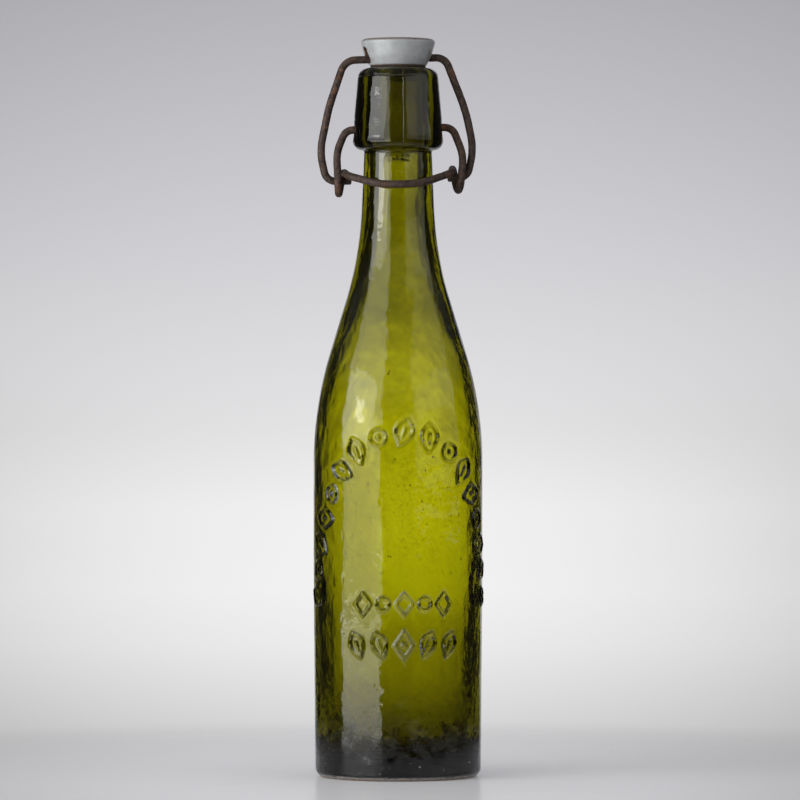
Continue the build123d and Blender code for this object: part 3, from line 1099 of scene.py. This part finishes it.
def floor_material():
    """Pale satin board whose edge melts into the backdrop. Painted shade makes it a little darker at
    the sides and further out, which leaves a painted pool of light round the bottle, and a faint
    painted glow fills the bottle's shadow.
    """
    n = Nodes("pale_floor")
    x, y = n.axis("X"), n.axis("Y")
    pale = n.mix(n.noise(3.0, 4.0, 0.65, (0.12, 1.0, 1.0)), FLOOR_GREY, FLOOR_PALE)
    # Painted shade: the board darkens away from the bottle, faster to the sides than front and back,
    # which leaves a painted pool of light round the bottle.
    aside = n.distance(x, n.times(y, 0.4))
    n.set("Base Color", n.mix(n.between(aside, 60.0, 180.0), pale, FLOOR_PAINTED_SHADE))
    n.set("Metallic", 0.35)
    n.set("Specular IOR Level", 0.0)
    n.set("Roughness", 0.22)
    n.set("Normal", n.bump(n.noise(1.4, 3.0), 0.03))
    # Painted light: the board glows faintly, which fills the bottle's shadow on it.
    n.set("Emission Color", (0.98, 0.98, 1.0))
    n.set("Emission Strength", 0.05)
    fade_from, fade_to = 0.25 * FLOOR_RADIUS, 0.97 * FLOOR_RADIUS
    n.set("Alpha", n.between(n.distance(x, y), fade_from, fade_to, 1.0, 0.0))
    return n.material


# ---------------------------------------------------------------- studio
def make_floor():
    """A round floor under the bottle."""
    steps = 96
    turns = [k * 2 * math.pi / steps for k in reversed(range(steps))]
    rim = [(FLOOR_RADIUS * math.sin(t), FLOOR_RADIUS * math.cos(t), 0.0) for t in turns]
    floor = mesh_object("floor", rim, [tuple(range(steps))])
    floor.data.materials.append(floor_material())


def strip_light(name, bearing, spread, bottom, top, radiance, distance):
    """An upright soft box that faces the bottle's axis. Bearing 0 is -Y and grows towards +X;
    spread is how wide it looks from the bottle, in degrees, and bottom and top are heights."""
    light = bpy.data.lights.new(name, "AREA")
    light.shape = "RECTANGLE"
    light.size = 2.0 * distance * math.tan(math.radians(spread / 2))
    light.size_y = top - bottom
    light.energy = radiance * math.pi * light.size * light.size_y
    obj = bpy.data.objects.new(name, light)
    bpy.context.scene.collection.objects.link(obj)
    turn = math.radians(bearing)
    obj.location = (math.sin(turn) * distance, -math.cos(turn) * distance, (bottom + top) / 2)
    obj.rotation_euler = (math.pi / 2, 0.0, turn)
    obj.visible_camera = False


def make_world():
    """Pale studio: a glowing backdrop behind the bottle, grey walls beside it and a dim room in
    front."""
    world = bpy.data.worlds.new("studio")
    bpy.context.scene.world = world
    world.use_nodes = True
    world.node_tree.nodes.clear()
    n = Tree(world.node_tree)
    split = n.add("ShaderNodeSeparateXYZ")
    n.link(n.add("ShaderNodeTexCoord").outputs["Generated"], split.inputs[0])
    x, y, z = split.outputs
    bearing = n.times(n.math("ARCTAN2", x, y), 180.0 / math.pi)
    rise = n.times(n.math("ARCSINE", z), 180.0 / math.pi)
    # The backdrop: a pale glow low behind the bottle, greyer above, below and to the sides.
    steps = n.add("ShaderNodeValToRGB")
    stops = steps.color_ramp.elements
    stops.remove(stops[0])
    for number, (angle, tone) in enumerate(BACKDROP_TONES):
        stop = stops[0] if number == 0 else stops.new(0.5)
        stop.position = (angle - BACKDROP_LOW) / (BACKDROP_HIGH - BACKDROP_LOW)
        stop.color = (tone, tone * 0.99, tone, 1.0)
    along = n.add("ShaderNodeMapRange")
    along.inputs["From Min"].default_value = BACKDROP_LOW
    along.inputs["From Max"].default_value = BACKDROP_HIGH
    n.link(rise, along.inputs["Value"])
    n.link(along.outputs["Result"], steps.inputs["Fac"])
    tones = steps.outputs["Color"]
    tinted = n.add("ShaderNodeVectorMath")
    tinted.operation = "MULTIPLY"
    n.link(tones, tinted.inputs[0])
    tinted.inputs[1].default_value = BACKDROP_TINT
    upright = n.mix(n.between(rise, -1.0, 3.0), tones, tinted.outputs[0])
    swing = n.gap(bearing, GLOW_BEARING)
    fall = n.math("MINIMUM", n.math("DIVIDE", swing, GLOW_FALL_WIDTH), 1.0)
    fall = n.math("POWER", fall, 2.0)
    depth = n.between(rise, -1.8, 1.2, 0.255, 0.12)
    backdrop = n.dim(upright, n.opposite(n.times(fall, depth)))
    # What the glass sees through itself: the glow behind it, and grey walls far to the sides.
    edge_from, edge_to = LOBE_HALF_WIDTH - LOBE_SOFTNESS, LOBE_HALF_WIDTH + LOBE_SOFTNESS
    lobe = n.between(n.gap(bearing, LOBE_BEARING), edge_from, edge_to, 1.0, 0.0)
    low_glow = n.mix(n.between(rise, -2.2, -2.8), upright, LOW_GLOW)
    glow = n.dim(low_glow, n.between(rise, -1.2, -0.2, 1.0, 1.1))
    through = n.mix(n.between(swing, 60.0, 90.0), n.mix(lobe, UNLIT, glow), SIDE_GLOW)
    # What is mirrored: the backdrop, dark beside it and in the room in front.
    room = n.mix(n.between(rise, 13.0, 22.0), ROOM_LOW, ROOM_HIGH)
    mirrored = n.mix(lobe, room, backdrop)
    # What lights dull things.
    lit = n.mix(n.between(rise, -10.0, 50.0), LIT_LOW, LIT_HIGH)
    path = n.add("ShaderNodeLightPath")
    colour = n.mix(path.outputs["Is Transmission Ray"], mirrored, through)
    colour = n.mix(path.outputs["Is Diffuse Ray"], colour, lit)
    colour = n.mix(path.outputs["Is Camera Ray"], colour, backdrop)
    shade = n.add("ShaderNodeBackground")
    n.link(colour, shade.inputs["Color"])
    n.link(shade.outputs[0], n.add("ShaderNodeOutputWorld").inputs["Surface"])


def make_camera():
    """A level camera in front of the bottle, at the photograph's viewing angle."""
    camera = bpy.data.cameras.new("camera")
    camera.lens = LENS
    camera.sensor_width = SENSOR
    camera.clip_end = 20.0
    obj = bpy.data.objects.new("camera", camera)
    bpy.context.scene.collection.objects.link(obj)
    yaw = math.radians(CAMERA_YAW)
    right = Vector((math.cos(yaw), -math.sin(yaw), 0.0))
    away = Vector((-math.sin(yaw), -math.cos(yaw), 0.0))
    obj.location = away * CAMERA_DISTANCE + right * CAMERA_SIDE + Vector((0.0, 0.0, CAMERA_HEIGHT))
    obj.rotation_euler = (math.pi / 2, 0.0, -yaw)
    bpy.context.scene.camera = obj


# ---------------------------------------------------------------- put together
def finish_piece(obj, material, body, node):
    """Gives a piece its material, and tells the frame its body and CAD node."""
    obj.data.materials.clear()
    obj.data.materials.append(material)
    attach(obj, body)
    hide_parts(node)


def mark_inside(bottle):
    """1 on the inner skin, 0 on the outer: whichever section line a point lies nearer to."""
    points = vertices_of(bottle)
    inner = spaced(inner_chain(), lambda height: 0.8)
    outer = spaced(outer_chain(), lambda height: 0.8)
    tree = kdtree.KDTree(len(inner) + len(outer))
    for number, point in enumerate(np.concatenate([inner, outer])):
        tree.insert((point[0], point[1], 0.0), number)
    tree.balance()
    radius = np.hypot(points[:, 0], points[:, 1])
    nearest = [tree.find((r, z, 0.0))[1] for r, z in zip(radius, points[:, 2])]
    add_value(bottle, "inside", np.array(nearest) < len(inner))


def make_object():
    bottle = make_bottle()
    mark_inside(bottle)
    shade_smooth(bottle, 62.0)
    finish_piece(bottle, glass_material(), "bottle", "bottle")
    finish_piece(make_stopper(), porcelain_material(), "stopper", "stopper")
    finish_piece(make_washer(), rubber_material(), "stopper", "rubber_washer")
    bail = make_wire("bail_wire", "rusted_bail_wire", 1)
    finish_piece(bail, wire_material(1), "bail", "bail_wire")
    lever = make_wire("lever_wire", "rusted_lever_wire", 5)
    finish_piece(lever, wire_material(2), "lever", "lever_wire")


make_object()
make_floor()
make_world()
make_camera()
for soft_box in SOFT_BOXES:
    strip_light(*soft_box)
bpy.context.scene.view_settings.view_transform = "Standard"
bpy.context.scene.cycles.max_bounces = 16
bpy.context.scene.cycles.transmission_bounces = 14
bpy.context.scene.cycles.transparent_max_bounces = 12
